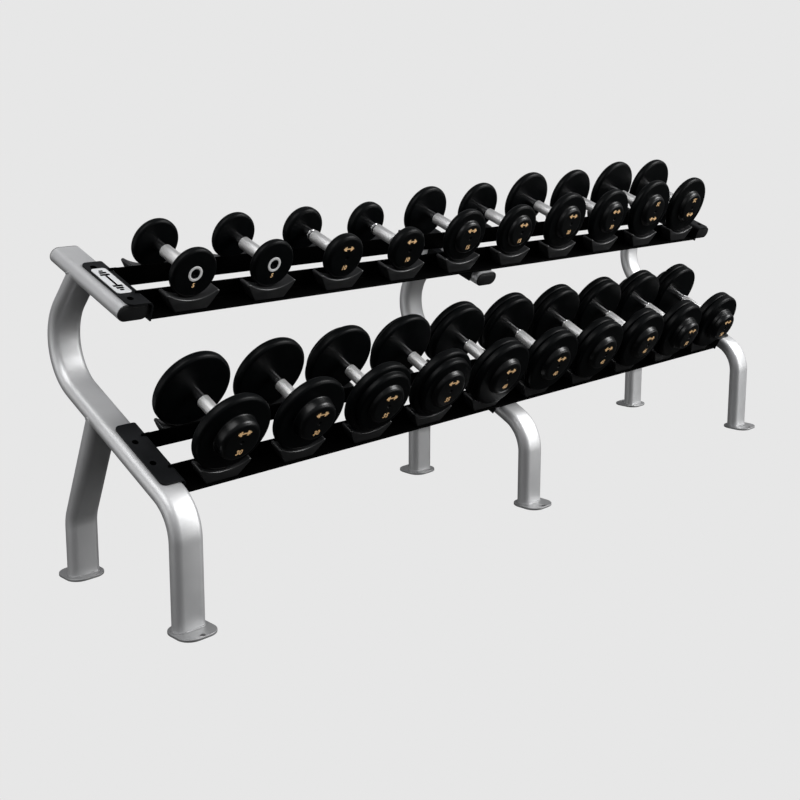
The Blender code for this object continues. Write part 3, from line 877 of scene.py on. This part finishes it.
def cross_brackets():
    top = RAIL_BASE - GAP
    for tier_name, tier in TIERS.items():
        for label, side in (("left", -1), ("right", 1)):
            inner, web = CROSS_INNER, CROSS_INNER + CROSS_THICK
            outer = CROSS_INNER + CROSS_FLANGE
            under, low = top - CROSS_THICK, top - CROSS_DEPTH
            outline = [(inner, low), (web, low), (web, under), (outer, under), (outer, top), (inner, top)]
            shape = rounded(outline, [0.0005, 0.0018, 0.0035, 0.0018, 0.0005, 0.0010], 3)
            shape = counter_clockwise([(side * a, b) for a, b in shape])
            part = prism(shape, -CROSS_HALF, CROSS_HALF, 0.0005, lambda a, b, c: (a, c, b))
            groups = [(part, BRACKET_BLACK)]
            for t in CROSS_BOLT_PLACES:
                place = Matrix.Translation((side * web, t, top - CROSS_BOLT_DROP))
                place = place @ Matrix.Rotation(side * math.pi / 2, 4, "Y")
                groups.append((moved(bolt_head(*CROSS_BOLT), place), BOLT_BLACK))
            name = "bracket_%s_middle_%s" % (tier_name, label)
            add_piece("cross_angle_%s_%s" % (tier_name, label), groups, RACK, name, tier_matrix(tier))


# Bars of the badge's pictogram: (distance from its middle, length, width)
BADGE_BARS = ((0.0, 0.046, 0.0056), (0.0275, 0.0075, 0.0240), (0.0375, 0.0075, 0.0180),
              (0.0465, 0.0060, 0.0100))


def badge():
    """Pale plate with rounded edges and a plain dumbbell pictogram."""
    width, length = BADGE_SIZE
    edge = rounded(rectangle(width, length), [0.008] * 4, 6)
    groups = [(plate([edge], BADGE_THICK, 0.0007), BADGE)]
    place = Matrix.Translation((0, 0, BADGE_THICK - 0.0001))
    for t, long, wide in BADGE_BARS:
        for side in ((1,) if t == 0.0 else (1, -1)):
            shape = rounded(rectangle(wide, long, 0.0, side * t), [0.0010] * 4, 3)
            groups.append((moved(plate([shape], 0.0005, 0.0001, 1), place), BOLT_BLACK))
    height = TUBE_DEPTH / 2 + 2 * GAP + BRACKET_THICK
    matrix = tier_matrix(UPPER_TIER, -FRAME_PITCH) @ Matrix.Translation((*BADGE_CENTRE, height))
    add_piece("badge_plate", groups, RACK, "badge", matrix)


# ---------------------------------------------------------------- dumbbells

# Head profiles from the handle outward: (distance from the inner face, radius, corner radius)
PROFILES = {
    5: [(0, 0.061, 0.008), (0.021, 0.061, 0.008), (0.021, 0.020, 0)],
    10: [(0, 0.060, 0.011), (0.030, 0.060, 0.012), (0.030, 0.020, 0)],
    15: [(0, 0.078, 0.010), (0.024, 0.078, 0.010), (0.0235, 0.049, 0.004),
         (0.036, 0.044, 0.010), (0.036, 0.020, 0)],
    20: [(0, 0.090, 0.010), (0.025, 0.090, 0.010), (0.0245, 0.053, 0.004),
         (0.039, 0.047, 0.011), (0.039, 0.020, 0)],
    25: [(0, 0.100, 0.010), (0.025, 0.100, 0.010), (0.0245, 0.056, 0.004),
         (0.041, 0.050, 0.012), (0.041, 0.020, 0)],
    30: [(0, 0.101, 0.010), (0.028, 0.101, 0.010), (0.027, 0.057, 0.004),
         (0.056, 0.0525, 0.013), (0.056, 0.020, 0)],
    35: [(0, 0.101, 0.008), (0.026, 0.101, 0.009), (0.0275, 0.086, 0.002), (0.044, 0.084, 0.010),
         (0.0435, 0.056, 0.004), (0.057, 0.051, 0.012), (0.057, 0.020, 0)],
    40: [(0, 0.100, 0.009), (0.0235, 0.100, 0.010), (0.0240, 0.0900, 0.001), (0.0245, 0.100, 0.010),
         (0.048, 0.100, 0.010), (0.0475, 0.057, 0.004), (0.063, 0.051, 0.013), (0.063, 0.020, 0)],
    45: [(0, 0.100, 0.009), (0.0245, 0.100, 0.010), (0.0250, 0.0900, 0.001), (0.0255, 0.100, 0.010),
         (0.050, 0.100, 0.010), (0.0495, 0.057, 0.004), (0.067, 0.051, 0.013), (0.067, 0.020, 0)],
    50: [(0, 0.100, 0.009), (0.0250, 0.100, 0.010), (0.0255, 0.0900, 0.001), (0.0260, 0.100, 0.010),
         (0.050, 0.100, 0.010), (0.0495, 0.058, 0.004), (0.062, 0.056, 0.004), (0.0625, 0.052, 0.002),
         (0.080, 0.050, 0.012), (0.080, 0.020, 0)],
}
# Distance from the inner face at which the hub of each weight starts
HUB_START = {15: 0.0245, 20: 0.0255, 25: 0.0255, 30: 0.0285, 35: 0.0445, 40: 0.0485, 45: 0.0505, 50: 0.0505}


def head_part(weight):
    """One head facing +Z, its inner face at z = HANDLE_HALF."""
    rows = PROFILES[weight]
    points = [(0.0, 0.0), (0.0, 0.020)] + [(d, r) for d, r, _ in rows]
    radii = [0.0, 0.0] + [c for _, _, c in rows]
    face = rows[-1][0]
    points += [(face, 0.0052), (face - 0.003, 0.0046), (face - 0.003, 0.0)]
    radii += [0.0006, 0.0006, 0.0]
    outline = rounded(points, radii, 7, closed=False)
    profile = [(HANDLE_HALF + d, r) for d, r in outline]
    return turned(profile, 80)


def head_mesh_parts(weight):
    vertices, faces = head_part(weight)
    flip = Matrix.Rotation(math.pi, 4, "X")
    return [(vertices, faces), moved((vertices, faces), flip)]


def polish_hubs(mesh, weight):
    """Gives the hub that stands out of each head its glossier coat."""
    start = HANDLE_HALF + HUB_START.get(weight, 1.0)
    mesh.materials.append(HUB)
    for polygon in mesh.polygons:
        if abs(polygon.center.z) > start and math.hypot(polygon.center.x, polygon.center.y) < 0.058:
            polygon.material_index = 1


# How far from the end of the grip the bright collar stands, for the weights that have one
COLLAR_GAP = {10: 0.0080, 40: 0.0, 45: 0.0, 50: 0.0}


def handle_parts(weight):
    """Knurled grip, slim necks and, on some weights, bright collars."""
    grip = rounded([(-GRIP_HALF, NECK_RADIUS), (-GRIP_HALF, GRIP_RADIUS), (GRIP_HALF, GRIP_RADIUS),
                    (GRIP_HALF, NECK_RADIUS)], [0, 0.0012, 0.0012, 0], 3, closed=False)
    groups = [(turned([(-GRIP_HALF, 0.0)] + grip + [(GRIP_HALF, 0.0)], 64), KNURL)]
    ends = (-HANDLE_HALF - 0.003, -GRIP_HALF + 0.001)
    neck = [(ends[0], 0.0), (ends[0], NECK_RADIUS), (ends[1], NECK_RADIUS), (ends[1], 0.0)]
    for sign in (1, -1):
        turn = Matrix.Identity(4) if sign > 0 else Matrix.Rotation(math.pi, 4, "X")
        groups.append((moved(turned(neck, 48), turn), NECK))
        if weight in COLLAR_GAP:
            start = GRIP_HALF + COLLAR_GAP[weight]
            ring = rounded([(start, NECK_RADIUS - 0.0005), (start, GRIP_RADIUS - 0.0010),
                            (start + 0.0045, GRIP_RADIUS - 0.0010), (start + 0.0045, NECK_RADIUS - 0.0005)],
                           [0, 0.0008, 0.0012, 0], 3, closed=False)
            groups.append((moved(turned(ring, 48), turn), COLLAR))
    return groups


def number_part(text, height):
    """(vertices, faces) of a slanted number lying on z = 0, centred."""
    curve = bpy.data.curves.new("number", "FONT")
    curve.body = text
    curve.size = 1.0
    curve.shear = 0.2
    curve.extrude = 0.0
    curve.offset = 0.030
    curve.resolution_u = 4
    holder = bpy.data.objects.new("number", curve)
    bpy.context.scene.collection.objects.link(holder)
    bpy.context.view_layer.update()
    made = bpy.data.meshes.new_from_object(holder.evaluated_get(bpy.context.evaluated_depsgraph_get()))
    points = [v.co.copy() for v in made.vertices]
    polygons = [tuple(p.vertices) for p in made.polygons]
    bpy.data.objects.remove(holder, do_unlink=True)
    low = Vector((min(p.x for p in points), min(p.y for p in points)))
    high = Vector((max(p.x for p in points), max(p.y for p in points)))
    scale = height / (high.y - low.y)
    centre = (low + high) / 2
    flat = [((p.x - centre.x) * scale, (p.y - centre.y) * scale) for p in points]
    return raised(flat, polygons, 0.0004)


def raised(flat, polygons, thickness):
    """Gives flat faces a thickness, closed all round."""
    count = len(flat)
    vertices = [(x, y, 0.0) for x, y in flat] + [(x, y, thickness) for x, y in flat]
    faces = []
    edges = {}
    for polygon in polygons:
        faces.append(tuple(reversed(polygon)))
        faces.append(tuple(k + count for k in polygon))
        for a, b in zip(polygon, polygon[1:] + polygon[:1]):
            edges[(a, b)] = True
    for a, b in edges:
        if (b, a) not in edges:
            faces.append((a, b, b + count, a + count))
    return vertices, faces


# Dumbbell pictogram from the middle outward: (reach, half height) as shares of its width and height
MARK_STEPS = ((0.19, 0.13), (0.31, 0.50), (0.42, 0.34), (0.50, 0.13))
MARK_THICK = 0.0004


def dumbbell_mark(width, height):
    """Plain pictogram: a bar through two pairs of plates."""
    right = []
    inner = 0.0
    for reach, tall in MARK_STEPS:
        right += [(inner * width, tall * height), (reach * width, tall * height)]
        inner = reach
    right = right[1:]
    upper = [(-x, y) for x, y in reversed(right)] + right
    outline = upper + [(x, -y) for x, y in reversed(upper)]
    return plate([counter_clockwise(outline)], MARK_THICK, 0.0001, 1)


MARKS = {  # weight: (mark width, mark height, mark offset, number height, number offset)
    5: (0.0, 0.0, 0.0, 0.0110, -0.0290),
    10: (0.034, 0.0125, 0.0250, 0.0125, -0.0270),
    15: (0.034, 0.0125, 0.0235, 0.0125, -0.0265),
    20: (0.036, 0.0130, 0.0245, 0.0130, -0.0275),
    25: (0.038, 0.0135, 0.0250, 0.0135, -0.0280),
    30: (0.038, 0.0140, 0.0255, 0.0140, -0.0280),
    35: (0.038, 0.0140, 0.0255, 0.0140, -0.0280),
    40: (0.038, 0.0140, 0.0245, 0.0140, -0.0265),
    45: (0.038, 0.0140, 0.0235, 0.0140, -0.0250),
    50: (0.038, 0.0140, 0.0235, 0.0140, -0.0250),
}


def face_marks(weight):
    """Gold mark and number on both outer faces, in the dumbbell's own axes (Z along the handle)."""
    wide, tall, above, digits, below = MARKS[weight]
    face = HANDLE_HALF + PROFILES[weight][-1][0]
    parts = []
    number = number_part(str(weight), digits)
    for end in (1, -1):
        # Local Z runs up the slope and local Y down, so the front face looks along -Z with its top toward -Y.
        if end < 0:
            basis = Matrix(((1, 0, 0, 0), (0, -1, 0, 0), (0, 0, -1, 0), (0, 0, 0, 1)))
        else:
            basis = Matrix(((-1, 0, 0, 0), (0, -1, 0, 0), (0, 0, 1, 0), (0, 0, 0, 1)))
        place = Matrix.Translation((0, 0, end * (face - 0.0002))) @ basis
        parts.append((moved(number, place @ Matrix.Translation((0, below, 0))), GOLD_INK_GLOW))
        if wide:
            parts.append((moved(dumbbell_mark(wide, tall), place @ Matrix.Translation((0, above, 0))), GOLD_INK_GLOW))
        else:
            ring = rounded([(0.0, 0.0125), (0.0012, 0.0125), (0.0012, 0.0190), (0.0, 0.0190)],
                           [0, 0.0004, 0.0004, 0], 2, closed=False)
            parts.append((moved(turned(ring, 64, ring=True), place), RING))
    return parts


def radius_of(weight):
    return max(r for _, r, _ in PROFILES[weight])


def dumbbells():
    seat = SADDLE_SEAT + 0.0004
    for tier_name, tier in TIERS.items():
        for index, weight in enumerate(WEIGHTS[tier_name]):
            node = "dumbbell_%s_%02d_%dlb" % (tier_name, index + 1, weight)
            short = "%s_%02d" % (tier_name, index + 1)
            radius = radius_of(weight)
            matrix = tier_matrix(tier, station_x(index)) @ Matrix.Translation((0.0, 0.0, seat + radius))
            matrix = matrix @ Matrix.Rotation(math.radians(-90), 4, "X")
            if tier_name == "upper" and index in (8, 9):
                matrix = matrix @ Matrix.Rotation(math.pi, 4, "Z")
            body = node + "_body"
            heads = [(part, HEAD) for part in head_mesh_parts(weight)]
            piece = add_piece("heads_" + short, heads, body, node, matrix, TURNED_SHARP)
            polish_hubs(piece.data, weight)
            add_piece("handle_" + short, handle_parts(weight), body, None, matrix, TURNED_SHARP)
            add_piece("marks_" + short, face_marks(weight), body, None, matrix, TURNED_SHARP)


# ---------------------------------------------------------------- studio

def look_matrix(location, back, roll):
    back = Vector(back).normalized()
    right = Vector((0, 0, 1)).cross(back).normalized()
    up = back.cross(right)
    turn = Matrix((right, up, back)).transposed().to_4x4()
    return Matrix.Translation(location) @ turn @ Matrix.Rotation(math.radians(roll), 4, "Z")


# Lens and sensor in mm, angles in degrees
CAMERA_LENS = 52.9965
CAMERA_SENSOR = 36.0
CAMERA_SHIFT = -0.11335
CAMERA_AZIMUTH = -45.22
CAMERA_ELEVATION = 9.72
CAMERA_ROLL = 0.05
CAMERA_PLACE = (-2.5678, -2.24235, 1.1222)


def camera():
    data = bpy.data.cameras.new("camera")
    data.lens = CAMERA_LENS
    data.sensor_width = CAMERA_SENSOR
    data.shift_y = CAMERA_SHIFT
    data.clip_end = 100
    made = bpy.data.objects.new("camera", data)
    bpy.context.scene.collection.objects.link(made)
    a, e = math.radians(CAMERA_AZIMUTH), math.radians(CAMERA_ELEVATION)
    back = (math.sin(a) * math.cos(e), -math.cos(a) * math.cos(e), math.sin(e))
    made.matrix_world = look_matrix(Vector(CAMERA_PLACE), back, CAMERA_ROLL)
    bpy.context.scene.camera = made


def area_light(name, location, target, size, power):
    data = bpy.data.lights.new(name, "AREA")
    data.shape = "RECTANGLE"
    data.size, data.size_y = size
    data.energy = power
    made = bpy.data.objects.new(name, data)
    bpy.context.scene.collection.objects.link(made)
    made.matrix_world = look_matrix(Vector(location), Vector(location) - Vector(target), 0.0)


BACKDROP = 0.799
# Light from the surroundings by height, 0 straight down and 1 straight up: (position, colour)
SKY = ((0.42, (0.03, 0.03, 0.03, 1)), (0.52, (0.25, 0.25, 0.255, 1)), (0.85, (0.26, 0.26, 0.27, 1)))
FLOOR_HALF = 14
# name: (place, aimed at, size, watts)
LIGHTS = {
    "key": ((5.6, -4.6, 5.6), (0.0, 0.0, 0.4), (4.3, 3.6), 700),
    "front": ((5.0, -5.6, 0.9), (0.0, 0.0, 0.4), (4.0, 2.0), 120),
    "top": ((-2.6, -0.6, 3.6), (-0.6, 0.1, 0.5), (2.6, 2.2), 66),
    "side": ((-4.2, 0.8, 1.0), (0.0, 0.0, 0.5), (2.8, 2.0), 20),
}


def world():
    made = bpy.data.worlds.new("studio")
    bpy.context.scene.world = made
    made.use_nodes = True
    tree = made.node_tree
    tree.nodes.clear()
    output = tree.nodes.new("ShaderNodeOutputWorld")
    mix = tree.nodes.new("ShaderNodeMixShader")
    path = tree.nodes.new("ShaderNodeLightPath")
    seen = tree.nodes.new("ShaderNodeBackground")
    seen.inputs["Color"].default_value = (BACKDROP, BACKDROP, BACKDROP, 1)
    lit = tree.nodes.new("ShaderNodeBackground")
    place = tree.nodes.new("ShaderNodeTexCoord")
    split = tree.nodes.new("ShaderNodeSeparateXYZ")
    ramp = tree.nodes.new("ShaderNodeValToRGB")
    stops = ramp.color_ramp.elements
    stops.new(SKY[1][0])
    for stop, (position, colour) in zip(stops, SKY):
        stop.position = position
        stop.color = colour
    half = tree.nodes.new("ShaderNodeMath")
    half.operation = "MULTIPLY_ADD"
    half.inputs[1].default_value = 0.5
    half.inputs[2].default_value = 0.5
    tree.links.new(place.outputs["Generated"], split.inputs["Vector"])
    tree.links.new(split.outputs["Z"], half.inputs[0])
    tree.links.new(half.outputs[0], ramp.inputs["Fac"])
    tree.links.new(ramp.outputs["Color"], lit.inputs["Color"])
    tree.links.new(path.outputs["Is Camera Ray"], mix.inputs["Fac"])
    tree.links.new(lit.outputs[0], mix.inputs[1])
    tree.links.new(seen.outputs[0], mix.inputs[2])
    tree.links.new(mix.outputs[0], output.inputs["Surface"])


def floor():
    """Pale floor, evenly lit, seen only by the camera so that it doesn't light the undersides."""
    mesh = bpy.data.meshes.new("floor")
    corners = [(x, y, 0) for x, y in rectangle(2 * FLOOR_HALF, 2 * FLOOR_HALF)]
    mesh.from_pydata(corners, [], [(0, 1, 2, 3)])
    made = bpy.data.objects.new("floor", mesh)
    bpy.context.scene.collection.objects.link(made)
    material = bpy.data.materials.new("floor_pale")
    material.use_nodes = True
    tree = material.node_tree
    shader = tree.nodes["Principled BSDF"]
    shader.inputs["Base Color"].default_value = (0.0, 0.0, 0.0, 1)
    shader.inputs["Roughness"].default_value = 1.0
    shader.inputs["Specular IOR Level"].default_value = 0.0
    shader.inputs["Emission Color"].default_value = (BACKDROP, BACKDROP, BACKDROP, 1)
    shader.inputs["Emission Strength"].default_value = 1.0
    mesh.materials.append(material)
    made.visible_diffuse = False
    made.visible_glossy = False
    made.visible_shadow = False
    made.location.z = -0.001


def studio():
    camera()
    world()
    floor()
    for name, (place, target, size, power) in LIGHTS.items():
        area_light(name, place, target, size, power)
    scene = bpy.context.scene
    scene.view_settings.view_transform = "Standard"
    scene.view_settings.look = "None"


frame_tubes()
arm_plugs()
feet()
rails()
saddles()
brackets()
cross_brackets()
badge()
dumbbells()
studio()
